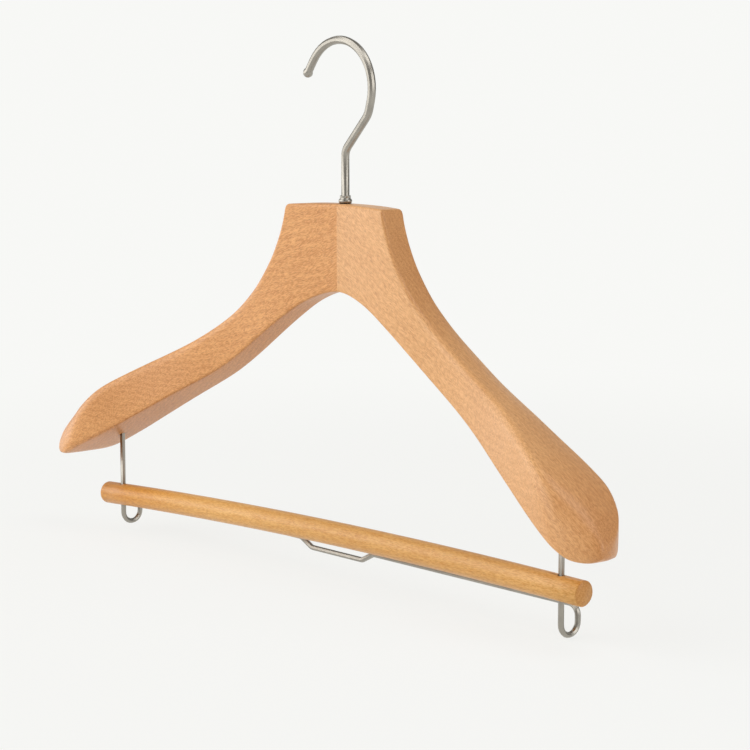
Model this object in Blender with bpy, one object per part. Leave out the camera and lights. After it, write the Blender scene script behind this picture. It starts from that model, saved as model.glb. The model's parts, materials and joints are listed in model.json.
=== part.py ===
# Wooden suit hanger: two shaped beech arms, a steel hook that turns in a sleeve, and a round
# trouser bar that slides on one bent steel wire.
#
# The origin is where the rail touches the hook: the middle of the bend's inner top.
# +X runs along the hanger to the wearer's left arm, -Y is the front and +Z is up.

from math import acos, atan, cos, degrees, pi, radians, sin, sqrt, tan

import bmesh
import bpy
from mathutils import Matrix, Vector

MM = 0.001

# Whole hanger
SPAN = 438 * MM                     # tip to tip
JOINT_GAP = 0.1 * MM                # glue line between the two arms
SEAT_GAP = 0.3 * MM                 # between a piece and what it is pressed or seated in
CUT_OVERRUN = 2 * MM                # how far a cutter runs past the face that it opens
MERGE_DISTANCE = 0.001 * MM         # points closer than this are one

# Neck, where the arms meet
NECK_WIDTH = 77 * MM                # across the top
NECK_HEIGHT = 47.4 * MM             # top to the crown of the arch below it
NECK_CROWN = 1.2 * MM               # how far the top's middle arches above its ends
CREASE_THICKNESS = 12.4 * MM        # front to back at the joint
NECK_CORNER_RADIUS = 2.2 * MM
NECK_EDGE_RADIUS = 2.2 * MM

# Arms, seen from the front
FOOT_FALL = 113.2 * MM              # arch crown down to the lowest point of the underside
BACK_DROP = 3 * MM                  # how much lower the upper back edge runs at mid arm
FOOT_DROP_SHARE = 0.5               # the lower back edge's drop, of that
# Share of the run from neck corner to nose, share of the fall from neck corner to nose
RIDGE_SHARES = (
    (0.000, 0.000), (0.020, 0.078), (0.040, 0.136), (0.074, 0.208), (0.146, 0.313), (0.235, 0.401),
    (0.324, 0.468), (0.413, 0.525), (0.507, 0.579), (0.596, 0.630), (0.684, 0.686), (0.773, 0.746),
    (0.861, 0.809), (1.000, 0.902),
)
# Share of half the span, share of the underside's fall
FOOT_SHARES = (
    (-0.055, 0.018),                # mirrors the third point, so the arch is level at the joint
    (0.000, 0.000), (0.055, 0.018), (0.123, 0.070), (0.197, 0.153), (0.271, 0.246), (0.345, 0.343),
    (0.419, 0.433), (0.493, 0.511), (0.566, 0.586), (0.639, 0.666), (0.717, 0.752), (0.790, 0.832),
    (0.863, 0.906), (0.936, 0.973), (1.000, 1.000),
)
# Share of half the span, share of the back's extra drop
DROP_SHARES = (
    (0.000, 0.000), (0.120, 0.000), (0.200, 0.150), (0.370, 0.500), (0.515, 1.000), (0.600, 0.870),
    (0.740, 0.430), (0.850, 0.050), (1.000, 0.000),
)

# Arms, seen from above: both faces sweep forward towards the shoulders
FRONT_SWEEP = 42.3 * MM             # crease to the front corner of the shoulder
BACK_SWEEP = 12.9 * MM              # how far the back face comes forward
# Share of half the span, share of the front's sweep, along the ridge and along the underside
FRONT_RIDGE_SHARES = (
    (0.000, 0.000), (0.090, 0.045), (0.180, 0.089), (0.266, 0.118), (0.370, 0.142), (0.444, 0.191),
    (0.518, 0.253), (0.592, 0.338), (0.666, 0.470), (0.740, 0.655), (0.814, 0.837), (0.860, 0.925),
    (0.927, 0.960), (1.000, 1.000),
)
FRONT_FOOT_SHARES = (
    (0.000, 0.000), (0.090, 0.045), (0.180, 0.089), (0.271, 0.118), (0.345, 0.132), (0.419, 0.165),
    (0.493, 0.250), (0.567, 0.378), (0.641, 0.516), (0.717, 0.650), (0.790, 0.788), (0.863, 0.917),
    (0.927, 1.000), (1.000, 1.000),
)
# Share of half the span, share of the back's sweep
BACK_SHARES = (
    (0.000, 0.000), (0.120, 0.000), (0.250, 0.000), (0.345, 0.010), (0.444, 0.054), (0.518, 0.225),
    (0.592, 0.440), (0.666, 0.636), (0.740, 0.800), (0.814, 0.880), (0.890, 0.960), (1.000, 1.000),
)

# Edges and nose of the arms
RIDGE_RADIUS = 6 * MM
BACK_EDGE_RADIUS = 3 * MM
FOOT_EDGE_RADIUS = 1.6 * MM
SHOULDER_RIDGE_RADIUS = 5 * MM      # the same three edges at the shoulder
SHOULDER_BACK_RADIUS = 3.2 * MM
SHOULDER_FOOT_RADIUS = 3.8 * MM
NOSE_FACE_SHARE = 0.88              # share of the front face that its rounded upper edge takes on the nose
NOSE_TOP_SHARE = 0.55               # the same of the upper face
TOP_CROWN = 0.8 * MM                # bulge of the upper face across its width
SHOULDER_CROWN = 2.4 * MM           # the same at the shoulder
NOSE_HEIGHT = 7 * MM                # nose above the lowest point of the underside
NOSE_SWEEP_SHARE = 0.71             # how far forward the nose stands, of the front's sweep
# Where each line starts to close on the nose, as a share of half the span, and how square its
# curve is at its start and its end: 2 and 2 make an ellipse, more is squarer, 1 turns in at an angle
NOSE_START_SHARES = {"front": 0.875, "back": 0.86, "ridge": 0.875, "foot": 0.90}
NOSE_SQUARENESS = {"front": (1.1, 1.75), "back": (2.0, 2.0), "ridge": (2.4, 2.4), "foot": (2.1, 2.1)}
NECK_ROUND_SHARES = (0.16, 0.42)    # stretch where the neck's edge grows into the ridge
SHOULDER_ROUND_SHARES = (0.70, 0.93)
NOSE_ROUND_SHARES = (0.78, 0.93)    # stretch where the front upper edge takes over on the nose

# Facets of the arms
EDGE_LIMIT_SHARE = 0.46             # a rounded edge takes at most this share of a side
RIDGE_SEGMENTS = 8
BACK_SEGMENTS = 4
FOOT_SEGMENTS = 3
CROWN_SEGMENTS = 4
NECK_STATIONS = 8
CORNER_STATIONS = 4
SIDE_STATIONS = 10
ARM_STATIONS = 14
NOSE_STATIONS = 11
SIDE_END_SHARE = 0.30               # the steep side of the neck ends here, of half the span

# Dowels across the joint
DOWEL_DIAMETER = 5 * MM
DOWEL_LENGTH = 24 * MM
DOWEL_CHAMFER = 0.6 * MM
DOWEL_DEPTH_SHARES = {"joint_dowel_upper": 0.655, "joint_dowel_lower": 0.825}     # of the neck's height

# Hook
HOOK_WIRE = 4.5 * MM
HOOK_BEND_RADIUS = 25.7 * MM        # centreline of the big bend
HOOK_RISE = 61.6 * MM               # bend's centre above the neck's top
HOOK_OFFSET = 4.7 * MM              # bend's centre to the open side of the shank
HOOK_KNEE_HEIGHT = 28.4 * MM        # where the shank's line meets the leaning stretch
HOOK_KNEE_RADIUS = 8 * MM
HOOK_HEEL_ANGLE = -31               # degrees round the bend from +X to the heel
HOOK_HEEL_OUT = 1 * MM              # heel's corner outside the bend's centreline
HOOK_HEEL_RADIUS = 12 * MM          # between the leaning stretch and the big bend
HOOK_END_ANGLE = 145                # degrees round the bend from +X to where the end runs straight
HOOK_END_RUN = 7.8 * MM
HOOK_BALL = 5.5 * MM
HOOK_SIDES = 16
HOOK_BEND_STEPS = 22

# Hook's seat in the neck
SLEEVE_DIAMETER = 6.8 * MM
SLEEVE_LENGTH = 18 * MM
SLEEVE_RECESS = 0.3 * MM            # sleeve's end below the neck's top
SHANK_PLAY = 0.3 * MM               # between the shank and what it turns in
WASHER_THICKNESS = 1 * MM
SHANK_HEAD = 6 * MM                 # peened head that holds the washer up
SHANK_HEAD_HEIGHT = 1.6 * MM
SEAT_FLOOR_GAP = 0.8 * MM           # below the peened head
COLLAR_DIAMETER = 7.4 * MM
COLLAR_NECK = 5.9 * MM
COLLAR_HEIGHT = 4.4 * MM
COLLAR_BEAD = 2.6 * MM              # height of the round bead at its foot
BEAD_DEPTH_SHARE = 0.8              # how deep the bead's curve runs into the collar's wall

# Trouser bar
BAR_DIAMETER = 13 * MM
BAR_OVERHANG = 15 * MM              # bar's end past its leg
BAR_GAP = 19.4 * MM                 # bar's axis below the lowest point of the arms
BAR_BOW = 3.8 * MM                  # how far its middle arches above its ends
BAR_SKEW = 0.52                     # degrees that it sits askew on its legs, right end up
BAR_END_CHAMFER = 0.7 * MM
BAR_HOLE_PLAY = 0.5 * MM            # round each leg
BAR_SIDES = 36
BAR_SEGMENTS = 16

# Bar wire
LEG_SPACING = 356 * MM
LEG_FORWARD = 20 * MM               # legs and bar stand this far in front of the hook's axis
LEG_SOCKET = 14 * MM                # leg's length inside the arm
BAR_WIRE = 3 * MM
LOOP_RADIUS = 6.1 * MM              # centreline of the loops below the bar
LOOP_DROP = 21.6 * MM               # loops' lowest point below the bar's axis
WIRE_SKEW = 0.65                    # degrees that the wire's foot runs askew, right loop down
RAIL_DROP = 6.2 * MM                # wire behind the bar, below the bar's axis at the middle
RAIL_BEND_RADIUS = 5.5 * MM
FINGER_WIDTH = 41 * MM              # level run of the bump in the middle
FINGER_DROP = 4.6 * MM
FINGER_SLOPE_RUN = 9 * MM
FINGER_CENTRE = 1.3 * MM            # bump's middle, to the right of the hook's axis
FINGER_BEND_RADIUS = 4 * MM
WIRE_SIDES = 12

HALF_SPAN = SPAN / 2
HALF_NECK = NECK_WIDTH / 2
CREASE_Y = -CREASE_THICKNESS / 2
LOWEST_FOOT = NECK_HEIGHT + FOOT_FALL
NOSE = Vector((HALF_SPAN, CREASE_Y - NOSE_SWEEP_SHARE * FRONT_SWEEP, NOSE_HEIGHT - LOWEST_FOOT))
RIDGE_FALL = LOWEST_FOOT - NOSE_HEIGHT - NECK_CROWN            # neck corner down to the nose
HANG_HEIGHT = HOOK_RISE + HOOK_BEND_RADIUS - HOOK_WIRE / 2     # rail's seat above the neck's top
BAR_LENGTH = LEG_SPACING + 2 * BAR_OVERHANG
BAR_DEPTH = LOWEST_FOOT + BAR_GAP
LOOP_DEPTH = BAR_DEPTH + LOOP_DROP
RAIL_DEPTH = BAR_DEPTH + RAIL_DROP

BEECH = ("arm beech", (0.78, 0.52, 0.29, 1), 0.45, 0)
BAR_BEECH = ("bar beech", (0.80, 0.56, 0.30, 1), 0.45, 0)
PIN_BEECH = ("dowel beech", (0.72, 0.50, 0.31, 1), 0.6, 0)
SATIN_STEEL = ("satin steel", (0.62, 0.60, 0.57, 1), 0.3, 1)


def clear_scene():
    for item in list(bpy.data.objects):
        bpy.data.objects.remove(item, do_unlink=True)


def material(finish):
    """Return the named material, made once."""
    name, colour, roughness, metallic = finish
    made = bpy.data.materials.get(name)
    if made is None:
        made = bpy.data.materials.new(name)
        made.use_nodes = True
        shader = made.node_tree.nodes["Principled BSDF"]
        shader.inputs["Base Color"].default_value = colour
        shader.inputs["Roughness"].default_value = roughness
        shader.inputs["Metallic"].default_value = metallic
    return made


def add_object(name, mesh, finish, parent=None):
    piece = bpy.data.objects.new(name, mesh)
    bpy.context.scene.collection.objects.link(piece)
    mesh.materials.clear()
    mesh.materials.append(material(finish))
    mesh.shade_smooth()
    mesh.set_sharp_from_angle(angle=radians(35))
    piece.parent = parent
    return piece


def add_empty(name, place, turn=0.0, parent=None):
    empty = bpy.data.objects.new(name, None)
    bpy.context.scene.collection.objects.link(empty)
    empty.location = place
    empty.rotation_euler = (0, turn, 0)
    empty.parent = parent
    return empty


def mesh_from(bm, name):
    """Close a bmesh's work into a mesh whose faces point out."""
    bmesh.ops.recalc_face_normals(bm, faces=bm.faces)
    if bm.calc_volume(signed=True) < 0:
        bmesh.ops.reverse_faces(bm, faces=bm.faces)
    mesh = bpy.data.meshes.new(name)
    bm.to_mesh(mesh)
    bm.free()
    return mesh


def smooth_line(points):
    """Return the height of a smooth curve through (place, height) points, as a function of place."""
    places = [place for place, height in points]
    heights = [height for place, height in points]

    def slope(index):
        before, after = max(index - 1, 0), min(index + 1, len(points) - 1)
        return (heights[after] - heights[before]) / (places[after] - places[before])

    def height_at(place):
        index = 0
        while index < len(points) - 2 and place > places[index + 1]:
            index += 1
        run = places[index + 1] - places[index]
        t = (place - places[index]) / run
        rise = heights[index + 1] - heights[index]
        start, end = slope(index) * run, slope(index + 1) * run
        return heights[index] + t * start + t * t * (3 * rise - 2 * start - end) + t ** 3 * (start + end - 2 * rise)

    return height_at


def smooth_step(value, low, high):
    t = min(max((value - low) / (high - low), 0), 1)
    return t * t * (3 - 2 * t)


RIDGE_LINE = smooth_line(RIDGE_SHARES)
FOOT_LINE = smooth_line(FOOT_SHARES)
DROP_LINE = smooth_line(DROP_SHARES)
FRONT_RIDGE_LINE = smooth_line(FRONT_RIDGE_SHARES)
FRONT_FOOT_LINE = smooth_line(FRONT_FOOT_SHARES)
BACK_LINE = smooth_line(BACK_SHARES)

# Slope of the ridge as it leaves the neck's corner, and the arc that rounds the corner
RIDGE_RUN = HALF_SPAN - HALF_NECK
SIDE_SLOPE = RIDGE_SHARES[1][1] * RIDGE_FALL / (RIDGE_SHARES[1][0] * RIDGE_RUN)
SIDE_ANGLE = atan(SIDE_SLOPE)
CORNER_START = HALF_NECK - NECK_CORNER_RADIUS * tan(SIDE_ANGLE / 2)
CORNER_END = CORNER_START + NECK_CORNER_RADIUS * sin(SIDE_ANGLE)


def closed_on_nose(value, nose_value, x, line):
    """Draw a line's value in towards the nose, along a rounded end."""
    start = NOSE_START_SHARES[line] * HALF_SPAN
    if x <= start:
        return value
    t = min((x - start) / (HALF_SPAN - start), 1)
    first, last = NOSE_SQUARENESS[line]
    kept = (1 - t ** first) ** (1 / last)
    return nose_value + (value - nose_value) * kept


def ridge_height(x):
    arch = NECK_CROWN * min(x / HALF_NECK, 1) ** 2
    if x <= CORNER_START:
        return -arch
    if x <= CORNER_END:
        return sqrt(NECK_CORNER_RADIUS ** 2 - (x - CORNER_START) ** 2) - NECK_CORNER_RADIUS - arch
    fall = RIDGE_LINE((x - HALF_NECK) / RIDGE_RUN) * RIDGE_FALL
    return closed_on_nose(-fall - arch, NOSE.z, x, "ridge")


def foot_height(x):
    return closed_on_nose(-NECK_HEIGHT - FOOT_LINE(x / HALF_SPAN) * FOOT_FALL, NOSE.z, x, "foot")


def front_at(x, shares_line):
    return closed_on_nose(CREASE_Y - shares_line(x / HALF_SPAN) * FRONT_SWEEP, NOSE.y, x, "front")


def back_at(x):
    return closed_on_nose(-CREASE_Y - BACK_LINE(x / HALF_SPAN) * BACK_SWEEP, NOSE.y, x, "back")


def back_drop(x):
    return DROP_LINE(x / HALF_SPAN) * BACK_DROP


def blended(x, neck, arm, shoulder):
    """Return a rounding that changes from the neck to the arm and again to the shoulder."""
    share = x / HALF_SPAN
    grown = smooth_step(share, *NECK_ROUND_SHARES)
    softened = smooth_step(share, *SHOULDER_ROUND_SHARES)
    return neck + (arm - neck) * grown + (shoulder - arm) * softened


def steepness(height_line, x):
    """How much longer an upright cut is than a square one, where the outline runs steeply."""
    step = HALF_SPAN / 1000
    return sqrt(1 + ((height_line(x) - height_line(x - step)) / step) ** 2)


def section(x):
    """Return the arm's closed outline at x: a slanted box with four rounded edges."""
    top, foot, drop = ridge_height(x), foot_height(x), back_drop(x)
    ridge_front, foot_front, back = front_at(x, FRONT_RIDGE_LINE), front_at(x, FRONT_FOOT_LINE), back_at(x)
    ridge_radius = blended(x, NECK_EDGE_RADIUS, RIDGE_RADIUS, SHOULDER_RIDGE_RADIUS)
    back_radius = blended(x, NECK_EDGE_RADIUS, BACK_EDGE_RADIUS, SHOULDER_BACK_RADIUS)
    foot_radius = blended(x, FOOT_EDGE_RADIUS, FOOT_EDGE_RADIUS, SHOULDER_FOOT_RADIUS)
    corners = [
        (Vector((x, ridge_front, top)), ridge_radius, RIDGE_SEGMENTS),
        (Vector((x, back, top - drop)), back_radius, BACK_SEGMENTS),
        (Vector((x, back, foot - FOOT_DROP_SHARE * drop)), foot_radius, FOOT_SEGMENTS),
        (Vector((x, foot_front, foot)), foot_radius, FOOT_SEGMENTS),
    ]
    upright = [steepness(ridge_height, x), steepness(ridge_height, x),
               steepness(foot_height, x), steepness(foot_height, x)]
    on_nose = smooth_step(x / HALF_SPAN, *NOSE_ROUND_SHARES)
    outline = []
    for index, (corner, radius, segments) in enumerate(corners):
        before = corners[index - 1][0] - corner
        after = corners[(index + 1) % 4][0] - corner
        # The first and third corners are reached along an upright side, and left along a level one
        cuts = (radius * upright[index], radius) if index % 2 == 0 else (radius, radius * upright[index])
        taken = [min(cuts[0] / before.length, EDGE_LIMIT_SHARE), min(cuts[1] / after.length, EDGE_LIMIT_SHARE)]
        if index == 0:
            taken[0] += (NOSE_FACE_SHARE - taken[0]) * on_nose
            taken[1] += (NOSE_TOP_SHARE - taken[1]) * on_nose
        elif index == 3:
            taken[1] = min(taken[1], 1 - NOSE_FACE_SHARE * on_nose - (1 - NOSE_FACE_SHARE) * 0.1)
        start = corner + before * taken[0]
        end = corner + after * taken[1]
        for step in range(segments + 1):
            t = step / segments
            outline.append(start * (1 - t) ** 2 + corner * 2 * t * (1 - t) + end * t * t)
        if index == 0:
            outline += crown_points(end, corners[1], x)
    return outline


def crown_points(start, back_corner, x):
    """Return the points across the upper face, lifted into a low crown."""
    corner, radius, segments = back_corner
    span = start - corner
    end = corner + span * min(radius / (span.length + radius), EDGE_LIMIT_SHARE)
    crown = blended(x, 0, TOP_CROWN, SHOULDER_CROWN) * min(span.length / CREASE_THICKNESS, 1)
    crown *= 1 - smooth_step(x / HALF_SPAN, *NOSE_ROUND_SHARES)
    points = []
    for step in range(1, CROWN_SEGMENTS):
        t = step / CROWN_SEGMENTS
        points.append(start.lerp(end, t) + Vector((0, 0, crown * 4 * t * (1 - t))))
    return points


def stations():
    """Return the places along the arm where its sections stand, closer where it turns faster."""
    first = JOINT_GAP / 2
    nose_start = NOSE_START_SHARES["ridge"] * HALF_SPAN
    side_end = SIDE_END_SHARE * HALF_SPAN
    places = [first + (CORNER_START - first) * step / NECK_STATIONS for step in range(NECK_STATIONS)]
    for step in range(CORNER_STATIONS):
        places.append(CORNER_START + NECK_CORNER_RADIUS * sin(SIDE_ANGLE * step / CORNER_STATIONS))
    for step in range(SIDE_STATIONS):
        places.append(CORNER_END + (side_end - CORNER_END) * (step / SIDE_STATIONS) ** 1.4)
    places += [side_end + (nose_start - side_end) * step / ARM_STATIONS for step in range(ARM_STATIONS)]
    for step in range(NOSE_STATIONS):
        places.append(nose_start + (HALF_SPAN - nose_start) * sin(pi / 2 * step / NOSE_STATIONS))
    return places


def arm_mesh(side):
    """Loft one arm: side is 1 for the right arm and -1 for the left."""
    bm = bmesh.new()
    mirror = Matrix.Scale(side, 4, Vector((1, 0, 0)))
    last_edges = []
    first_loop = None
    for x in stations():
        loop = [bm.verts.new(mirror @ point) for point in section(x)]
        edges = [bm.edges.new((loop[index - 1], loop[index])) for index in range(len(loop))]
        if last_edges:
            bmesh.ops.bridge_loops(bm, edges=last_edges + edges)
        else:
            first_loop = loop
        last_edges = edges
    bm.faces.new(first_loop)
    tip = bm.verts.new(mirror @ NOSE)
    for edge in last_edges:
        bm.faces.new((edge.verts[0], edge.verts[1], tip))
    return mesh_from(bm, "arm")


def turned_mesh(profile, sides, name):
    """Turn a closed or axis-ended (radius, height) profile about Z."""
    bm = bmesh.new()
    verts = [bm.verts.new((radius, 0, height)) for radius, height in profile]
    on_axis = profile[0][0] == 0 and profile[-1][0] == 0
    pairs = list(zip(verts[:-1], verts[1:]))
    if not on_axis:
        pairs.append((verts[-1], verts[0]))
    edges = [bm.edges.new(pair) for pair in pairs]
    bmesh.ops.spin(bm, geom=verts + edges, cent=(0, 0, 0), axis=(0, 0, 1), angle=2 * pi, steps=sides,
                   use_merge=True)
    bmesh.ops.remove_doubles(bm, verts=bm.verts, dist=MERGE_DISTANCE)
    return mesh_from(bm, name)


def rod_mesh(diameter, length, chamfer, sides, name):
    """A round rod along Z, centred, with chamfered ends."""
    radius, half = diameter / 2, length / 2
    profile = [(0, -half), (radius - chamfer, -half), (radius, chamfer - half),
               (radius, half - chamfer), (radius - chamfer, half), (0, half)]
    return turned_mesh(profile, sides, name)


def cut(piece, name, diameter, length, place, turn, sides):
    """Cut a round hole with a rod that stays in the file as a hidden cutter."""
    cutter = bpy.data.objects.new(name, rod_mesh(diameter, length, 0.0, sides, name))
    bpy.context.scene.collection.objects.link(cutter)
    cutter.location = place
    cutter.rotation_euler = turn
    cutter.parent = piece.parent
    cutter.hide_render = True
    cutter.display_type = "WIRE"
    hole = piece.modifiers.new(name, "BOOLEAN")
    hole.operation = "DIFFERENCE"
    hole.solver = "EXACT"
    hole.object = cutter
    return cutter


def add_wire(name, points, diameter, sides, finish, parent, radii=None):
    """A round wire along a route, with flat closed ends."""
    curve = bpy.data.curves.new(name, "CURVE")
    curve.dimensions = "3D"
    curve.bevel_depth = diameter / 2
    curve.bevel_resolution = sides // 4 - 1
    curve.use_fill_caps = True
    spline = curve.splines.new("POLY")
    spline.points.add(len(points) - 1)
    for index, point in enumerate(points):
        spline.points[index].co = (*point, 1)
        spline.points[index].radius = radii[index] if radii else 1
    curve.materials.append(material(finish))
    wire = bpy.data.objects.new(name, curve)
    bpy.context.scene.collection.objects.link(wire)
    wire.parent = parent
    return wire


def rounded_route(corners, step_angle=15):
    """Return a route's points: straight runs between (corner, radius) bends, each bend an arc."""
    route = [corners[0][0]]
    for index in range(1, len(corners) - 1):
        corner, radius = corners[index]
        incoming = (corners[index - 1][0] - corner).normalized()
        outgoing = (corners[index + 1][0] - corner).normalized()
        turned = pi - incoming.angle(outgoing)
        if radius == 0 or turned < radians(1):
            route.append(corner)
            continue
        reach = radius * tan(turned / 2)
        centre = corner + (incoming + outgoing).normalized() * radius / cos(turned / 2)
        start = corner + incoming * reach - centre
        axis = (-incoming).cross(outgoing).normalized()
        steps = max(2, round(degrees(turned) / step_angle))
        for step in range(steps + 1):
            route.append(centre + Matrix.Rotation(turned * step / steps, 3, axis) @ start)
    route.append(corners[-1][0])
    return route


def build_arms(neck):
    """The two arms, with the hook's seat, the dowels' holes and the wire's sockets cut in them."""
    seat_depth = SLEEVE_RECESS + SLEEVE_LENGTH + WASHER_THICKNESS + SHANK_HEAD_HEIGHT
    seat_depth += 2 * SEAT_GAP + SEAT_FLOOR_GAP
    seat_length = seat_depth + CUT_OVERRUN
    dowel_hole = DOWEL_LENGTH + 2 * SEAT_GAP
    socket_length = LEG_SOCKET + SEAT_GAP + BACK_DROP + CUT_OVERRUN
    for name, side in (("left_arm", -1), ("right_arm", 1)):
        arm = add_object(name, arm_mesh(side), BEECH, neck)
        cut(arm, name + "_seat_cut", SLEEVE_DIAMETER + 2 * SEAT_GAP, seat_length,
            (0, 0, CUT_OVERRUN - seat_length / 2), (0, 0, 0), 24)
        for dowel, share in DOWEL_DEPTH_SHARES.items():
            cut(arm, f"{name}_{dowel}_cut", DOWEL_DIAMETER + 2 * SEAT_GAP, dowel_hole,
                (0, 0, -share * NECK_HEIGHT), (0, pi / 2, 0), 16)
        leg_x = LEG_SPACING / 2
        socket_top = foot_height(leg_x) + LEG_SOCKET + SEAT_GAP
        cut(arm, name + "_socket_cut", BAR_WIRE + 2 * SEAT_GAP, socket_length,
            (side * leg_x, -LEG_FORWARD, socket_top - socket_length / 2), (0, 0, 0), 16)


def build_dowels(neck):
    for name, share in DOWEL_DEPTH_SHARES.items():
        dowel = add_object(name, rod_mesh(DOWEL_DIAMETER, DOWEL_LENGTH, DOWEL_CHAMFER, 16, name), PIN_BEECH, neck)
        dowel.location = (0, 0, -share * NECK_HEIGHT)
        dowel.rotation_euler = (0, pi / 2, 0)


def build_hook_seat(neck):
    """The sleeve pressed into the neck and the flared collar on top of it."""
    bore = HOOK_WIRE / 2 + SHANK_PLAY
    outer = SLEEVE_DIAMETER / 2
    top = -SLEEVE_RECESS
    sleeve = [(bore, top - SLEEVE_LENGTH), (outer, top - SLEEVE_LENGTH), (outer, top), (bore, top)]
    add_object("swivel_sleeve", turned_mesh(sleeve, 24, "sleeve"), SATIN_STEEL, neck)

    foot, neck_radius, half_bead = COLLAR_DIAMETER / 2, COLLAR_NECK / 2, COLLAR_BEAD / 2
    depth = BEAD_DEPTH_SHARE * (foot - bore)
    profile = [(bore, SEAT_GAP / 2)]
    for step in range(7):
        angle = pi * (step / 6) - pi / 2
        profile.append((foot - depth + depth * cos(angle), SEAT_GAP / 2 + half_bead * (1 + sin(angle))))
    waist = SEAT_GAP / 2 + COLLAR_BEAD + (COLLAR_HEIGHT - COLLAR_BEAD) / 3
    profile += [(neck_radius, waist), (neck_radius, COLLAR_HEIGHT - SEAT_GAP / 2),
                (neck_radius - SEAT_GAP / 2, COLLAR_HEIGHT), (bore, COLLAR_HEIGHT)]
    add_object("hook_collar", turned_mesh(profile, 32, "collar"), SATIN_STEEL, neck)


def hook_route():
    """Centreline of the hook from the foot of its shank to where the big bend ends."""
    shank_x, neck_top = HOOK_OFFSET, -HANG_HEIGHT
    centre = Vector((0, 0, HOOK_RISE - HANG_HEIGHT))
    head_foot = neck_top - SLEEVE_RECESS - SLEEVE_LENGTH - WASHER_THICKNESS - 2 * SEAT_GAP - SHANK_HEAD_HEIGHT
    knee = Vector((shank_x, 0, neck_top + HOOK_KNEE_HEIGHT))
    heel_angle = radians(HOOK_HEEL_ANGLE)
    heel_reach = HOOK_BEND_RADIUS + HOOK_HEEL_OUT
    heel = centre + heel_reach * Vector((cos(heel_angle), 0, sin(heel_angle)))

    # From the heel the wire runs straight to where it touches the big bend
    first = heel_angle + acos(HOOK_BEND_RADIUS / heel_reach)
    last = radians(HOOK_END_ANGLE)
    bend = []
    for step in range(HOOK_BEND_STEPS + 1):
        angle = first + (last - first) * step / HOOK_BEND_STEPS
        bend.append(centre + HOOK_BEND_RADIUS * Vector((cos(angle), 0, sin(angle))))
    foot = Vector((shank_x, 0, head_foot))
    route = rounded_route([(foot, 0), (knee, HOOK_KNEE_RADIUS), (heel, HOOK_HEEL_RADIUS), (bend[0], 0)], 10)
    return route + bend[1:]


def build_hook():
    """The hook: shank, knee, leaning stretch, heel, big bend and ball, swept as one wire."""
    route = hook_route()
    radii = [1.0] * len(route)

    # The shank's head swells at its foot, and the end runs straight into its ball
    head_share = SHANK_HEAD / HOOK_WIRE
    foot, up = route[0], Vector((0, 0, 1))
    edge = SHANK_HEAD_HEIGHT / 8
    head = [(0, head_share - edge * 2 / HOOK_WIRE), (edge, head_share), (SHANK_HEAD_HEIGHT - edge, head_share),
            (SHANK_HEAD_HEIGHT, 1)]
    route[0:1] = [foot + up * rise for rise, share in head]
    radii[0:1] = [share for rise, share in head]
    end_angle = radians(HOOK_END_ANGLE)
    onward = Vector((-sin(end_angle), 0, cos(end_angle)))
    ball_centre = route[-1] + onward * HOOK_END_RUN
    ball_radius = HOOK_BALL / 2
    ball_steps = 8
    first_angle = acos(min(HOOK_WIRE / HOOK_BALL, 1))
    last_angle = radians(80)
    for step in range(ball_steps + 1):
        angle = -first_angle + (last_angle + first_angle) * step / ball_steps
        route.append(ball_centre + onward * ball_radius * sin(angle))
        radii.append(cos(angle) * HOOK_BALL / HOOK_WIRE)
    add_wire("hook", route, HOOK_WIRE, HOOK_SIDES, SATIN_STEEL, None, radii)

    washer_top = -HANG_HEIGHT - SLEEVE_RECESS - SLEEVE_LENGTH - SEAT_GAP
    bore, outer = HOOK_WIRE / 2 + SHANK_PLAY, SLEEVE_DIAMETER / 2
    profile = [(bore, -WASHER_THICKNESS), (outer, -WASHER_THICKNESS), (outer, 0), (bore, 0)]
    washer = add_object("retaining_washer", turned_mesh(profile, 24, "washer"), SATIN_STEEL)
    washer.location = (HOOK_OFFSET, 0, washer_top)


def bar_mesh():
    """A round rod along X that arches by its bow, with chamfered ends square to it."""
    half = BAR_LENGTH / 2
    rings = [(-half, BAR_DIAMETER / 2 - BAR_END_CHAMFER)]
    for step in range(BAR_SEGMENTS + 1):
        rings.append(((half - BAR_END_CHAMFER) * (2 * step / BAR_SEGMENTS - 1), BAR_DIAMETER / 2))
    rings.append((half, BAR_DIAMETER / 2 - BAR_END_CHAMFER))

    bm = bmesh.new()
    last_edges = []
    for index, (along, radius) in enumerate(rings):
        place = Vector((along, 0, BAR_BOW * (1 - (along / half) ** 2)))
        slope = atan(-2 * BAR_BOW * along / half ** 2)
        stand = Matrix.Translation(place) @ Matrix.Rotation(pi / 2 - slope, 4, "Y")
        ring = bmesh.ops.create_circle(bm, cap_ends=index in (0, len(rings) - 1), segments=BAR_SIDES,
                                       radius=radius, matrix=stand)["verts"]
        edges = list({edge for vert in ring for edge in vert.link_edges})
        if last_edges:
            bmesh.ops.bridge_loops(bm, edges=last_edges + edges)
        last_edges = edges
    return mesh_from(bm, "bar")


def build_bar(neck):
    """The round trouser bar with an upright hole for each leg."""
    slide = add_empty("bar_slide", (0, -LEG_FORWARD, -BAR_DEPTH), -radians(BAR_SKEW), neck)
    bar = add_object("trouser_bar", bar_mesh(), BAR_BEECH, slide)
    for side, end in ((-1, "left"), (1, "right")):
        place = Vector((side * LEG_SPACING / 2 / cos(radians(BAR_SKEW)), 0, 0))
        cut(bar, f"{end}_leg_hole_cut", BAR_WIRE + 2 * BAR_HOLE_PLAY, BAR_DIAMETER + 2 * BAR_BOW + 2 * CUT_OVERRUN,
            place, (0, radians(BAR_SKEW), 0), 16)


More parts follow.
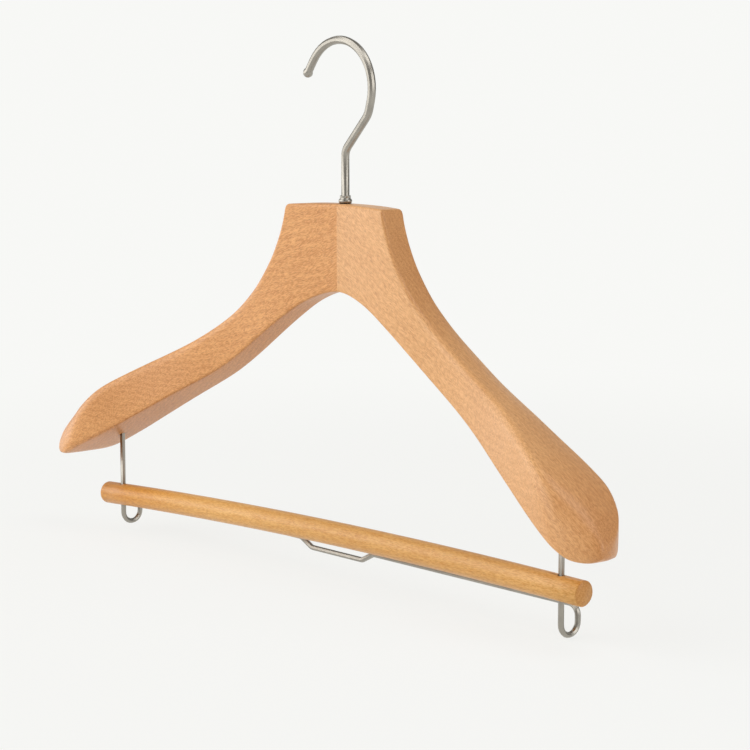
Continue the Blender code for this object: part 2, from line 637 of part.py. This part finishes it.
def build_bar_wire(neck):
    """One wire: socket, leg, loop, run behind the bar with its finger bump, and the same again."""
    leg_x, leg_y = LEG_SPACING / 2, -LEG_FORWARD
    rail_y = leg_y + 2 * LOOP_RADIUS
    leg_top = foot_height(leg_x) + LEG_SOCKET
    half_finger = FINGER_WIDTH / 2

    def askew(x, depth):
        return -depth - x * tan(radians(WIRE_SKEW))

    def end(side):
        x = side * leg_x
        loop_foot = askew(x, LOOP_DEPTH - BAR_WIRE / 2)
        return [
            (Vector((x, leg_y, leg_top)), 0),
            (Vector((x, leg_y, loop_foot)), LOOP_RADIUS),
            (Vector((x, rail_y, loop_foot)), LOOP_RADIUS),
            (Vector((x, rail_y, askew(x, RAIL_DEPTH))), RAIL_BEND_RADIUS),
        ]

    def bump(side):
        shoulder = FINGER_CENTRE + side * (half_finger + FINGER_SLOPE_RUN)
        foot = FINGER_CENTRE + side * half_finger
        return [
            (Vector((shoulder, rail_y, askew(shoulder, RAIL_DEPTH))), FINGER_BEND_RADIUS),
            (Vector((foot, rail_y, askew(foot, RAIL_DEPTH + FINGER_DROP))), FINGER_BEND_RADIUS),
        ]

    corners = end(-1) + bump(-1) + bump(1)[::-1] + end(1)[::-1]
    add_wire("bar_wire", rounded_route(corners), BAR_WIRE, WIRE_SIDES, SATIN_STEEL, neck)


def main():
    clear_scene()
    build_hook()
    neck = add_empty("swivel_axis", (HOOK_OFFSET, 0, -HANG_HEIGHT))
    build_arms(neck)
    build_dowels(neck)
    build_hook_seat(neck)
    build_bar(neck)
    build_bar_wire(neck)


main()
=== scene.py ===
"""Looks of a wooden suit hanger: lacquered beech arms, a turned bar and satin steel, on a pale floor."""

import json
from math import cos, pi, radians, sin

import bmesh
import bpy
from bpy.props import FloatProperty, FloatVectorProperty, PointerProperty
from bpy.types import NodeSocket, Operator, Panel, PropertyGroup
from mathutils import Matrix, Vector

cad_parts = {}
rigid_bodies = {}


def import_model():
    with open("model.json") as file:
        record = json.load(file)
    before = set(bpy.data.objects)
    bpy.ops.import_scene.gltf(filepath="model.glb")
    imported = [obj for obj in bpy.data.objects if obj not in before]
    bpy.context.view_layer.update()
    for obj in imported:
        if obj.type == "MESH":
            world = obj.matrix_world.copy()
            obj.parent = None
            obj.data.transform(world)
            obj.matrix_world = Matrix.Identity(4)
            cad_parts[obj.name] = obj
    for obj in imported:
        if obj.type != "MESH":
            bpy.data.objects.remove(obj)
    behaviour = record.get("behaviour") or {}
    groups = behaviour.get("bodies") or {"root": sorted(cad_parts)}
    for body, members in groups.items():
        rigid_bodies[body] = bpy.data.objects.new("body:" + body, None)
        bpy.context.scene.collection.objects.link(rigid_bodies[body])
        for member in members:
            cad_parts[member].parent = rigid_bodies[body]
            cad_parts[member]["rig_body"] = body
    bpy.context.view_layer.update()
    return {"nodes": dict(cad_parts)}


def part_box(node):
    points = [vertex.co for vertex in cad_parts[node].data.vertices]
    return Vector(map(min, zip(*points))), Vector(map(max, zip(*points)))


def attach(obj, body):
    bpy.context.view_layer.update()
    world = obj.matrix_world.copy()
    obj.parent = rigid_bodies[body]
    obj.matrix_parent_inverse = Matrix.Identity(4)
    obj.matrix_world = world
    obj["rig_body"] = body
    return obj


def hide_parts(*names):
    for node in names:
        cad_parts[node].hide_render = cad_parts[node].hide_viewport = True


bl_info = {
    "name": "Wooden Suit Hanger",
    "version": (1, 0, 0),
    "blender": (4, 5, 0),
    "location": "View3D > Sidebar > Hanger",
    "description": "Dresses a suit hanger in beech and satin steel and sets up its studio",
    "category": "Object",
}

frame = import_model()

MM = 0.001

# The hook's axis, the neck's top, the floor, the bar's ends and half the span, read from the CAD nodes
COLLAR_LOW, COLLAR_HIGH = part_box("hook_collar")
NECK_X = (COLLAR_LOW.x + COLLAR_HIGH.x) / 2
NECK_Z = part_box("left_arm")[1].z
FLOOR_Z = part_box("bar_wire")[0].z
BAR_LOW, BAR_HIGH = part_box("trouser_bar")
BAR_LENGTH = BAR_HIGH.x - BAR_LOW.x
HALF_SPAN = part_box("right_arm")[1].x - NECK_X

# Joining of the CAD triangles, and the angle from which an edge stays crisp
MERGE_REACH = 0.002 * MM
FLAT_ANGLE = radians(20)
SHAPE_ANGLE = radians(60)
KEEP_ANGLE = radians(35)

# Easing of the arms: what counts as on the glue line, how far the lines that cross it are rounded towards
# their neighbours, and the shares of the half span beyond which each pass softens the nose
GLUE_REACH = 0.1 * MM
GLUE_EASE = 1 / 3
NOSE_PASSES = (0.93, 0.95, 0.97, 0.985)

# Each piece's place in its board, as a shift of the figure away from the pith
LEFT_SHIFT = (0.3, -0.12, 0.02)
RIGHT_SHIFT = (-0.2, -0.10, -0.01)
DOWEL_SHIFT = (0.0, 0.01, 0.06)
BAR_SHIFT = (0.0, 0.035, 0.255)

# Where along X the painted shade on the right arm's tip and the darker left end of the bar are full, and
# where they end
TIP_SHADE_FADE = (NECK_X + HALF_SPAN, NECK_X + 0.6 * HALF_SPAN)
BAR_END_FADE = (BAR_LOW.x + 0.03 * BAR_LENGTH, BAR_LOW.x + 0.30 * BAR_LENGTH)

# The beech's figure: how far the grain wanders, how the flecks' cells are scaled along and across it, a
# fleck's core, edge and depth, the noise that gives the deepest and the palest wood, and what ripple and
# rings add to the fibres
GRAIN_BEND = 5 * MM
FLECK_CELLS = (0.48, 3.4, 3.4)
FLECK_CORE = 0.12
FLECK_EDGE = 0.50
FLECK_DEPTH = 0.5
TONE_SWING = (0.42, 0.575)
RIPPLE_SHARE = 0.15
RING_SHARE = 0.22
DARK_PATCH = (0.93, 0.90, 0.86, 1)
PALE_PATCH = (1.03, 1.05, 1.06, 1)

# Most of a noise's values lie between these
NOISE_SWING = (0.3, 0.7)

# The lamps' place, side and watts, and how far below the neck's top they aim
LAMPS = {
    "front_softbox": ((-0.80, -1.40, 0.80), 2.0, 28),
    "side_panel": ((-1.50, -0.50, -0.20), 1.0, 6),
    "right_softbox": ((1.45, 0.35, 0.35), 0.9, 6),
    "top_panel": ((0.60, 0.08, 1.07), 0.6, 3.3),
}
LAMP_DROP = 0.1

# The room's colour, the rim of the pale wall as cosines of the angle to the camera's direction, the floor's
# radius and its gap under the wire's loops, and the camera's sensor in millimetres
ROOM_COLOUR = (1.0, 0.99, 0.97, 1)
WALL_RIM = (-0.98, -0.80)
FLOOR_RADIUS = 9.0
FLOOR_GAP = 0.3 * MM
SENSOR_WIDTH = 36


def colour_property(name, text, value, most=1):
    return FloatVectorProperty(name=name, description=text, default=value, subtype="COLOR", size=3,
                               min=0, max=most)


class HangerWood(PropertyGroup):
    pale: colour_property("Pale wood", "Beech between its growth lines", (0.800, 0.408, 0.156))
    deep: colour_property("Deep wood", "Beech in its growth lines", (0.580, 0.245, 0.074))
    # Partly the paler board's own colour and partly painted sheen that whitens the right arm
    right_board_and_sheen_tint: colour_property("Right arm's tint", "Multiplies the beech of the paler board",
                                (1.05, 1.165, 1.35), most=2)
    right_figure: FloatProperty(name="Right arm's figure",
                                description="Its contrast as a share of the left arm's",
                                default=0.85, min=0, max=1)
    fleck: colour_property("Fleck", "Short dark flecks in the beech", (0.300, 0.110, 0.035))
    bar_pale: colour_property("Bar, pale", "Turned bar between its growth lines", (0.800, 0.455, 0.150))
    bar_deep: colour_property("Bar, deep", "Turned bar in its growth lines", (0.620, 0.285, 0.060))
    # Partly real end grain and partly painted shade on faces that turn to the side
    end_grain_and_shade: colour_property("End grain", "Multiplies the beech where a face cuts across it",
                               (0.86, 0.77, 0.68))
    bar_end_tint: colour_property("Bar's darker end", "Multiplies the bar towards its left end",
                                  (0.90, 0.75, 0.46))
    # Painted shade: darkens the right arm towards its shoulder tip
    tip_painted_shade: colour_property("Right tip", "Multiplies the right arm towards its shoulder",
                              (0.95, 0.90, 0.86))
    left_slope: FloatProperty(name="Left grain slope",
                              description="Fall of the left arm's grain to its tip",
                              subtype="ANGLE", default=radians(20))
    right_slope: FloatProperty(name="Right grain slope",
                               description="Fall of the right arm's grain to its tip",
                               subtype="ANGLE", default=radians(33))
    fleck_length: FloatProperty(name="Fleck spacing", description="Distance between flecks along the grain",
                                unit="LENGTH", default=2.0 * MM, min=0.5 * MM)
    ring_spacing: FloatProperty(name="Ring spacing", description="Distance between the growth rings",
                                unit="LENGTH", default=2.4 * MM, min=0.3 * MM)
    roughness: FloatProperty(name="Roughness", description="Satin lacquer on the wood",
                             default=0.40, min=0, max=1)


class HangerSteel(PropertyGroup):
    colour: colour_property("Steel", "Satin nickel on the wire and fittings", (0.38, 0.355, 0.31))
    roughness: FloatProperty(name="Roughness", description="Satin of the drawn wire",
                             default=0.30, min=0, max=1)
    scratch_width: FloatProperty(name="Scratch width", description="Width of the fine drawing marks",
                                 unit="LENGTH", default=0.3 * MM, min=0.05 * MM)


class HangerStudio(PropertyGroup):
    azimuth: FloatProperty(name="Azimuth", description="Camera's turn from the front towards the right",
                           subtype="ANGLE", default=radians(47.25))
    elevation: FloatProperty(name="Elevation", description="Camera's height above level",
                             subtype="ANGLE", default=radians(7.61))
    distance: FloatProperty(name="Distance", description="Camera to its target",
                            unit="LENGTH", default=1.18446)
    aim_right: FloatProperty(name="Aim right", description="Target to the right of the neck, in the picture",
                             unit="LENGTH", default=0.01594)
    aim_up: FloatProperty(name="Aim up", description="Target above the neck's top, in the picture",
                          unit="LENGTH", default=-0.09227)
    lens: FloatProperty(name="Lens", description="Focal length on a 36 mm sensor, in millimetres",
                        default=105.6)
    backdrop: colour_property("Backdrop", "Floor and backdrop as the camera sees them", (0.935, 0.938, 0.918))
    floor: colour_property("Floor", "Floor where it takes the hanger's shadow", (0.88, 0.875, 0.86))
    floor_share: FloatProperty(name="Backdrop under the hanger", description="Share of it in the floor there",
                               default=0.84, min=0, max=1)
    fade_start: FloatProperty(name="Fade start", description="Where the floor starts to become the backdrop",
                              unit="LENGTH", default=0.25, min=0)
    fade_radius: FloatProperty(name="Fade end", description="Where the floor has become the backdrop",
                               unit="LENGTH", default=0.9, min=0.3)
    room_light: FloatProperty(name="Room light", description="Strength of the light from the room",
                              default=0.35, min=0)
    wall_light: FloatProperty(name="Wall light", description="Strength of the light from the wall behind",
                              default=0.70, min=0)


def feed(tree, node, inputs):
    """Feed a node's inputs, by name or number: a socket is linked, a number or colour is set."""
    for key, value in inputs.items():
        if isinstance(value, NodeSocket):
            tree.links.new(value, node.inputs[key])
        else:
            node.inputs[key].default_value = value


def add_node(tree, kind, inputs, **settings):
    """Add a shader node with its settings, such as an operation, and feed its inputs."""
    node = tree.nodes.new(kind)
    for key, value in settings.items():
        setattr(node, key, value)
    feed(tree, node, inputs)
    return node


def rgba(colour):
    return (*colour, 1.0)


def new_material(name):
    material = bpy.data.materials.new(name)
    material.use_nodes = True
    tree = material.node_tree
    return material, tree, tree.nodes["Principled BSDF"]


def noise(tree, vector, scale, rough=0.5, distortion=0.0, output="Fac"):
    """Noise over a vector, with its scale in cells to the metre."""
    inputs = {"Vector": vector, "Scale": scale, "Detail": 2.0, "Roughness": rough, "Distortion": distortion}
    return add_node(tree, "ShaderNodeTexNoise", inputs).outputs[output]


def stretch(tree, vector, factors):
    """Scale a vector by three factors: a small one draws a pattern out along that axis."""
    node = add_node(tree, "ShaderNodeVectorMath", {0: vector, 1: factors}, operation="MULTIPLY")
    return node.outputs["Vector"]


def grain_noise(tree, grain, draw, scale, rough=0.5, distortion=0.0):
    """Noise drawn out along the grain, where its scale is a share of the scale across it."""
    return noise(tree, stretch(tree, grain, (draw, 1.0, 1.0)), scale, rough, distortion)


def along(tree, vector, direction):
    """How far a vector reaches along a fixed direction."""
    node = add_node(tree, "ShaderNodeVectorMath", {0: vector, 1: direction}, operation="DOT_PRODUCT")
    return node.outputs["Value"]


def mix_colour(tree, factor, first, second, blend="MIX"):
    inputs = {0: factor, 6: first, 7: second}
    return add_node(tree, "ShaderNodeMix", inputs, data_type="RGBA", blend_type=blend).outputs[2]


def mix_value(tree, factor, first, second):
    return add_node(tree, "ShaderNodeMix", {0: factor, 2: first, 3: second}, data_type="FLOAT").outputs[0]


def calculate(tree, operation, *values):
    """Math node on one value or two."""
    return add_node(tree, "ShaderNodeMath", dict(enumerate(values)), operation=operation).outputs[0]


def map_range(tree, value, low, high, to_low=0.0, to_high=1.0, smooth=False):
    inputs = {"Value": value, "From Min": low, "From Max": high, "To Min": to_low, "To Max": to_high}
    course = "SMOOTHSTEP" if smooth else "LINEAR"
    return add_node(tree, "ShaderNodeMapRange", inputs, interpolation_type=course).outputs["Result"]


def bump(tree, height, strength, depth):
    inputs = {"Height": height, "Strength": strength, "Distance": depth}
    return add_node(tree, "ShaderNodeBump", inputs).outputs["Normal"]


def beech_group(wood):
    """Node group: beech figure from a vector whose X runs along the grain."""
    group = bpy.data.node_groups.new("Beech Figure", "ShaderNodeTree")
    face = group.interface
    face.new_socket("Vector", in_out="INPUT", socket_type="NodeSocketVector")
    for name in ("Pale", "Deep", "Fleck"):
        face.new_socket(name, in_out="INPUT", socket_type="NodeSocketColor")
    face.new_socket("Fleck Amount", in_out="INPUT", socket_type="NodeSocketFloat")
    face.new_socket("Color", in_out="OUTPUT", socket_type="NodeSocketColor")
    for name in ("Height", "Gloss"):
        face.new_socket(name, in_out="OUTPUT", socket_type="NodeSocketFloat")
    inputs = add_node(group, "NodeGroupInput", {}).outputs

    # A slow waver bends the straight grain
    waver = noise(group, inputs["Vector"], scale=45.0, output="Color")
    centred = add_node(group, "ShaderNodeVectorMath", {0: waver, 1: (0.5, 0.5, 0.5)}, operation="SUBTRACT")
    bend = stretch(group, centred.outputs["Vector"], (0.0, GRAIN_BEND, GRAIN_BEND))
    wavy = add_node(group, "ShaderNodeVectorMath", {0: inputs["Vector"], 1: bend}, operation="ADD")
    grain = wavy.outputs["Vector"]

    # Growth rings round a pith that runs along X; the texture repeats every 2 pi / 20 at a scale of 1
    rings = add_node(group, "ShaderNodeTexWave",
                     {"Vector": grain, "Scale": 2 * pi / (20 * wood.ring_spacing), "Distortion": 1.5,
                      "Detail": 2.0, "Detail Scale": 0.4},
                     wave_type="RINGS", rings_direction="X").outputs["Fac"]
    fibres = grain_noise(group, grain, draw=0.16, scale=2200.0, rough=0.6, distortion=0.2)
    ripple = grain_noise(group, grain, draw=0.22, scale=700.0, rough=0.6, distortion=0.8)
    patches = grain_noise(group, grain, draw=0.35, scale=24.0)

    # Lens-shaped ray flecks, one in each stretched cell of a Voronoi pattern and each of its own strength
    cells = add_node(group, "ShaderNodeTexVoronoi",
                     {"Vector": stretch(group, grain, FLECK_CELLS), "Scale": 1.0 / wood.fleck_length}).outputs
    lens = map_range(group, cells["Distance"], FLECK_CORE, FLECK_EDGE, 1.0, 0.0, smooth=True)
    own = add_node(group, "ShaderNodeSeparateColor", {"Color": cells["Color"]}).outputs["Red"]
    flecks = calculate(group, "MULTIPLY", lens, map_range(group, own, 0.2, 0.8))

    # Fine streaks carry the tone, and soft patches warm or pale it
    tone = map_range(group, mix_value(group, RIPPLE_SHARE, fibres, ripple), *TONE_SWING)
    tone = mix_value(group, RING_SHARE, tone, rings)
    colour = mix_colour(group, tone, inputs["Deep"], inputs["Pale"])
    patch = mix_colour(group, map_range(group, patches, 0.35, 0.65), DARK_PATCH, PALE_PATCH)
    colour = mix_colour(group, 1.0, colour, patch, "MULTIPLY")
    amount = calculate(group, "MULTIPLY", flecks, inputs["Fleck Amount"])
    colour = mix_colour(group, amount, colour, inputs["Fleck"])
    height = calculate(group, "SUBTRACT", fibres, calculate(group, "MULTIPLY", flecks, FLECK_DEPTH))
    add_node(group, "NodeGroupOutput", {"Color": colour, "Height": height, "Gloss": ripple})
    return group


def wood_material(name, wood, pale, deep, turn, shift, flecks, tint=(1, 1, 1), fade=None):
    """Lacquered beech whose grain runs along X after a turn about Y, shifted away from the pith.

    The tint multiplies the wood all over. A fade is a tint, where along X it is full and where it has gone.
    """
    material, tree, shader = new_material(name)
    coords = add_node(tree, "ShaderNodeTexCoord", {}).outputs
    place = add_node(tree, "ShaderNodeMapping",
                     {"Vector": coords["Object"], "Rotation": (0, turn, 0), "Location": shift},
                     vector_type="POINT").outputs["Vector"]
    pale, deep = (rgba(a * b for a, b in zip(colour, tint)) for colour in (pale, deep))
    figure = add_node(tree, "ShaderNodeGroup",
                      {"Vector": place, "Pale": pale, "Deep": deep, "Fleck": rgba(wood.fleck),
                       "Fleck Amount": flecks},
                      node_tree=bpy.data.node_groups.get("Beech Figure") or beech_group(wood)).outputs
    # Faces cut across the grain drink more lacquer and stay darker; the same darkening is also painted shade
    # on the faces that turn to the side, such as the arms' noses and the neck's sides
    across = calculate(tree, "ABSOLUTE", along(tree, coords["Normal"], (1, 0, 0)))
    ends = map_range(tree, across, 0.30, 0.75, smooth=True)
    colour = mix_colour(tree, ends, figure["Color"], rgba(wood.end_grain_and_shade), "MULTIPLY")
    if fade:
        end_tint, full, gone = fade
        x = along(tree, coords["Object"], (1, 0, 0))
        darker = map_range(tree, x, full, gone, 1.0, 0.0, smooth=True)
        colour = mix_colour(tree, darker, colour, rgba(end_tint), "MULTIPLY")
    gloss = map_range(tree, figure["Gloss"], *NOISE_SWING, wood.roughness - 0.04, wood.roughness + 0.06)
    feed(tree, shader, {
        "Base Color": colour,
        "Roughness": gloss,
        "Normal": bump(tree, figure["Height"], 0.3, 0.1 * MM),
        "Specular IOR Level": 0.35,
        "Coat Weight": 0.2,
        "Coat Roughness": 0.30,
    })
    return material


def steel_material(name, steel):
    """Satin nickel with fine drawing marks."""
    material, tree, shader = new_material(name)
    place = add_node(tree, "ShaderNodeTexCoord", {}).outputs["Object"]
    marks = noise(tree, stretch(tree, place, (1.0, 1.0, 0.12)), 1.0 / steel.scratch_width)
    cloud = noise(tree, place, scale=160.0)
    shade = map_range(tree, cloud, *NOISE_SWING, 0.88, 1.04)
    feed(tree, shader, {
        "Base Color": mix_colour(tree, 1.0, rgba(steel.colour), shade, "MULTIPLY"),
        "Roughness": map_range(tree, marks, 0.0, 1.0, steel.roughness - 0.05, steel.roughness + 0.09),
        "Normal": bump(tree, marks, 0.05, 0.02 * MM),
        "Metallic": 1.0,
    })
    return material


def ease_arm(bm):
    """Close the glue line between the arms, round the lines that cross it, and soften an arm's nose."""
    joint = {vert for vert in bm.verts if abs(vert.co.x - NECK_X) < GLUE_REACH}
    eased = {}
    for vert in joint:
        others = [edge.other_vert(vert) for edge in vert.link_edges]
        beside = [other.co.yz for other in others if other not in joint]
        if beside:
            nearest = min(beside, key=lambda place: (place - vert.co.yz).length)
            eased[vert] = vert.co.yz.lerp(nearest, GLUE_EASE)
    for vert in joint:
        vert.co.x = NECK_X
        if vert in eased:
            vert.co.y, vert.co.z = eased[vert]
    for share in NOSE_PASSES:
        nose = [vert for vert in bm.verts if abs(vert.co.x - NECK_X) > share * HALF_SPAN]
        bmesh.ops.smooth_vert(bm, verts=nose, factor=0.5, use_axis_x=False, use_axis_y=True, use_axis_z=True)


def fine_copy(node, material, levels=0, ease=None):
    """Stand a joined, smooth copy of a CAD node in for it, eased by a function where one is given."""
    mesh = frame["nodes"][node].data.copy()
    mesh.materials.clear()
    bm = bmesh.new()
    bm.from_mesh(mesh)
    bmesh.ops.remove_doubles(bm, verts=bm.verts, dist=MERGE_REACH)
    bmesh.ops.join_triangles(bm, faces=bm.faces, angle_face_threshold=FLAT_ANGLE,
                             angle_shape_threshold=SHAPE_ANGLE)
    if ease:
        ease(bm)
    if levels:
        crease = bm.edges.layers.float.get("crease_edge") or bm.edges.layers.float.new("crease_edge")
        for edge in bm.edges:
            if len(edge.link_faces) == 2 and edge.calc_face_angle() > KEEP_ANGLE:
                edge[crease] = 1.0
    bm.to_mesh(mesh)
    bm.free()
    mesh.materials.append(material)
    mesh.shade_smooth()
    mesh.set_sharp_from_angle(angle=KEEP_ANGLE)
    piece = bpy.data.objects.new(node + "_fine", mesh)
    bpy.context.scene.collection.objects.link(piece)
    if levels:
        finer = piece.modifiers.new("Finer", "SUBSURF")
        finer.levels = levels
        finer.render_levels = levels
        crisp = piece.modifiers.new("Crisp", "EDGE_SPLIT")
        crisp.split_angle = KEEP_ANGLE
        crisp.use_edge_sharp = False
    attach(piece, frame["nodes"][node]["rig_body"])
    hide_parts(node)


class HANGER_OT_arms(Operator):
    """Dress both arms in lacquered beech"""
    bl_idname = "hanger.arms"
    bl_label = "Beech arms"

    def execute(self, context):
        wood = context.scene.hanger_wood
        left = wood_material("left_arm_beech", wood, wood.pale, wood.deep, wood.left_slope, LEFT_SHIFT,
                             flecks=0.46)
        right_deep = Vector(wood.pale).lerp(wood.deep, wood.right_figure)
        # The right arm's tint is partly its paler board and partly painted sheen; its fade is painted shade
        # on the tip
        right = wood_material("right_arm_beech", wood, wood.pale, right_deep, -wood.right_slope, RIGHT_SHIFT,
                              flecks=0.34, tint=wood.right_board_and_sheen_tint, fade=(wood.tip_painted_shade, *TIP_SHADE_FADE))
        for node, material in (("left_arm", left), ("right_arm", right)):
            fine_copy(node, material, levels=2, ease=ease_arm)
        return {"FINISHED"}


class HANGER_OT_dowels(Operator):
    """Dress the two hidden dowels in beech"""
    bl_idname = "hanger.dowels"
    bl_label = "Dowels"

    def execute(self, context):
        wood = context.scene.hanger_wood
        material = wood_material("dowel_beech", wood, wood.pale, wood.deep, 0.0, DOWEL_SHIFT, flecks=0.3)
        for node in ("joint_dowel_upper", "joint_dowel_lower"):
            fine_copy(node, material)
        return {"FINISHED"}


class HANGER_OT_bar(Operator):
    """Dress the trouser bar in turned beech that darkens towards its left end"""
    bl_idname = "hanger.bar"
    bl_label = "Trouser bar"

    def execute(self, context):
        wood = context.scene.hanger_wood
        material = wood_material("bar_beech", wood, wood.bar_pale, wood.bar_deep, 0.0, BAR_SHIFT,
                                 flecks=0.25, fade=(wood.bar_end_tint, *BAR_END_FADE))
        fine_copy("trouser_bar", material)
        return {"FINISHED"}


class HANGER_OT_metal(Operator):
    """Dress the hook, its seat and the bar wire in satin steel"""
    bl_idname = "hanger.metal"
    bl_label = "Steel parts"

    def execute(self, context):
        material = steel_material("satin_steel", context.scene.hanger_steel)
        for node in ("hook", "hook_collar", "bar_wire", "swivel_sleeve", "retaining_washer"):
            fine_copy(node, material)
        return {"FINISHED"}


def add_lamp(name, place, side, watts):
    """Hang a square lamp that faces the hanger."""
    data = bpy.data.lights.new(name, "AREA")
    data.shape = "SQUARE"
    data.size = side
    data.energy = watts
    lamp = bpy.data.objects.new(name, data)
    lamp.location = place
    away = Vector(place) - Vector((NECK_X, 0, NECK_Z - LAMP_DROP))
    lamp.rotation_euler = away.to_track_quat("Z", "Y").to_euler()
    bpy.context.scene.collection.objects.link(lamp)


def backdrop_material(studio):
    """Pale floor that takes the hanger's shadow near it and becomes the backdrop further out."""
    material, tree, shader = new_material("pale_floor")
    tree.nodes.remove(shader)
    lit = add_node(tree, "ShaderNodeBsdfDiffuse", {"Color": rgba(studio.floor)}).outputs["BSDF"]
    glow = add_node(tree, "ShaderNodeEmission", {"Color": rgba(studio.backdrop)}).outputs["Emission"]
    place = add_node(tree, "ShaderNodeTexCoord", {}).outputs["Object"]
    distance = add_node(tree, "ShaderNodeVectorMath", {0: place}, operation="LENGTH").outputs["Value"]
    share = map_range(tree, distance, studio.fade_start, studio.fade_radius, studio.floor_share, 1.0,
                      smooth=True)
    path = add_node(tree, "ShaderNodeLightPath", {}).outputs
    seen = calculate(tree, "MAXIMUM", path["Is Camera Ray"], path["Is Glossy Ray"])
    share = calculate(tree, "MULTIPLY", seen, share)
    blend = add_node(tree, "ShaderNodeMixShader", {0: share, 1: lit, 2: glow})
    feed(tree, tree.nodes["Material Output"], {"Surface": blend.outputs["Shader"]})
    return material


def set_world(studio):
    """Dim room with a pale wall behind the hanger; the camera sees the backdrop's colour."""
    world = bpy.data.worlds.new("studio")
    world.use_nodes = True
    bpy.context.scene.world = world
    tree = world.node_tree
    place = add_node(tree, "ShaderNodeTexCoord", {}).outputs["Generated"]
    to_camera = along(tree, place, (sin(studio.azimuth), -cos(studio.azimuth), 0))
    strength = map_range(tree, to_camera, *WALL_RIM, studio.wall_light, studio.room_light, smooth=True)
    room = tree.nodes["Background"]
    feed(tree, room, {"Color": ROOM_COLOUR, "Strength": strength})
    seen = add_node(tree, "ShaderNodeBackground", {"Color": rgba(studio.backdrop)})
    path = add_node(tree, "ShaderNodeLightPath", {})
    blend = add_node(tree, "ShaderNodeMixShader",
                     {0: path.outputs["Is Camera Ray"], 1: room.outputs["Background"],
                      2: seen.outputs["Background"]})
    feed(tree, tree.nodes["World Output"], {"Surface": blend.outputs["Shader"]})


def lay_floor(studio):
    bm = bmesh.new()
    bmesh.ops.create_circle(bm, cap_ends=True, segments=64, radius=FLOOR_RADIUS)
    mesh = bpy.data.meshes.new("floor")
    bm.to_mesh(mesh)
    bm.free()
    mesh.materials.append(backdrop_material(studio))
    floor = bpy.data.objects.new("floor", mesh)
    floor.location.z = FLOOR_Z - FLOOR_GAP
    bpy.context.scene.collection.objects.link(floor)


def place_camera(studio):
    """Place the camera by its turn, height and distance, and aim it by shifts in its own picture."""
    right = Vector((cos(studio.azimuth), sin(studio.azimuth), 0))
    back = Vector((sin(studio.azimuth) * cos(studio.elevation),
                   -cos(studio.azimuth) * cos(studio.elevation),
                   sin(studio.elevation)))
    up = back.cross(right)
    data = bpy.data.cameras.new("camera")
    data.sensor_width = SENSOR_WIDTH
    data.lens = studio.lens
    camera = bpy.data.objects.new("camera", data)
    target = Vector((NECK_X, 0, NECK_Z)) + right * studio.aim_right + up * studio.aim_up
    camera.location = target + back * studio.distance
    camera.rotation_euler = (pi / 2 - studio.elevation, 0, studio.azimuth)
    bpy.context.scene.collection.objects.link(camera)
    bpy.context.scene.camera = camera


class HANGER_OT_stage(Operator):
    """Lay the floor, hang the lamps and place the camera"""
    bl_idname = "hanger.stage"
    bl_label = "Studio"

    def execute(self, context):
        studio = context.scene.hanger_studio
        set_world(studio)
        lay_floor(studio)
        for name, (place, side, watts) in LAMPS.items():
            add_lamp(name, place, side, watts)
        place_camera(studio)
        context.scene.view_settings.view_transform = "Standard"
        return {"FINISHED"}


class HANGER_PT_panel(Panel):
    bl_label = "Suit hanger"
    bl_idname = "HANGER_PT_panel"
    bl_space_type = "VIEW_3D"
    bl_region_type = "UI"
    bl_category = "Hanger"

    def draw(self, context):
        for operator in OPERATORS:
            self.layout.operator(operator.bl_idname)
        for group in (context.scene.hanger_wood, context.scene.hanger_steel, context.scene.hanger_studio):
            for name in group.__annotations__:
                self.layout.prop(group, name)


OPERATORS = (HANGER_OT_arms, HANGER_OT_dowels, HANGER_OT_bar, HANGER_OT_metal, HANGER_OT_stage)
CLASSES = (HangerWood, HangerSteel, HangerStudio, *OPERATORS, HANGER_PT_panel)


def register():
    for each in CLASSES:
        bpy.utils.register_class(each)
    bpy.types.Scene.hanger_wood = PointerProperty(type=HangerWood)
    bpy.types.Scene.hanger_steel = PointerProperty(type=HangerSteel)
    bpy.types.Scene.hanger_studio = PointerProperty(type=HangerStudio)


def unregister():
    del bpy.types.Scene.hanger_wood
    del bpy.types.Scene.hanger_steel
    del bpy.types.Scene.hanger_studio
    for each in reversed(CLASSES):
        bpy.utils.unregister_class(each)


def main():
    register()
    bpy.ops.hanger.arms()
    bpy.ops.hanger.dowels()
    bpy.ops.hanger.bar()
    bpy.ops.hanger.metal()
    bpy.ops.hanger.stage()


if __name__ == "__main__":
    main()
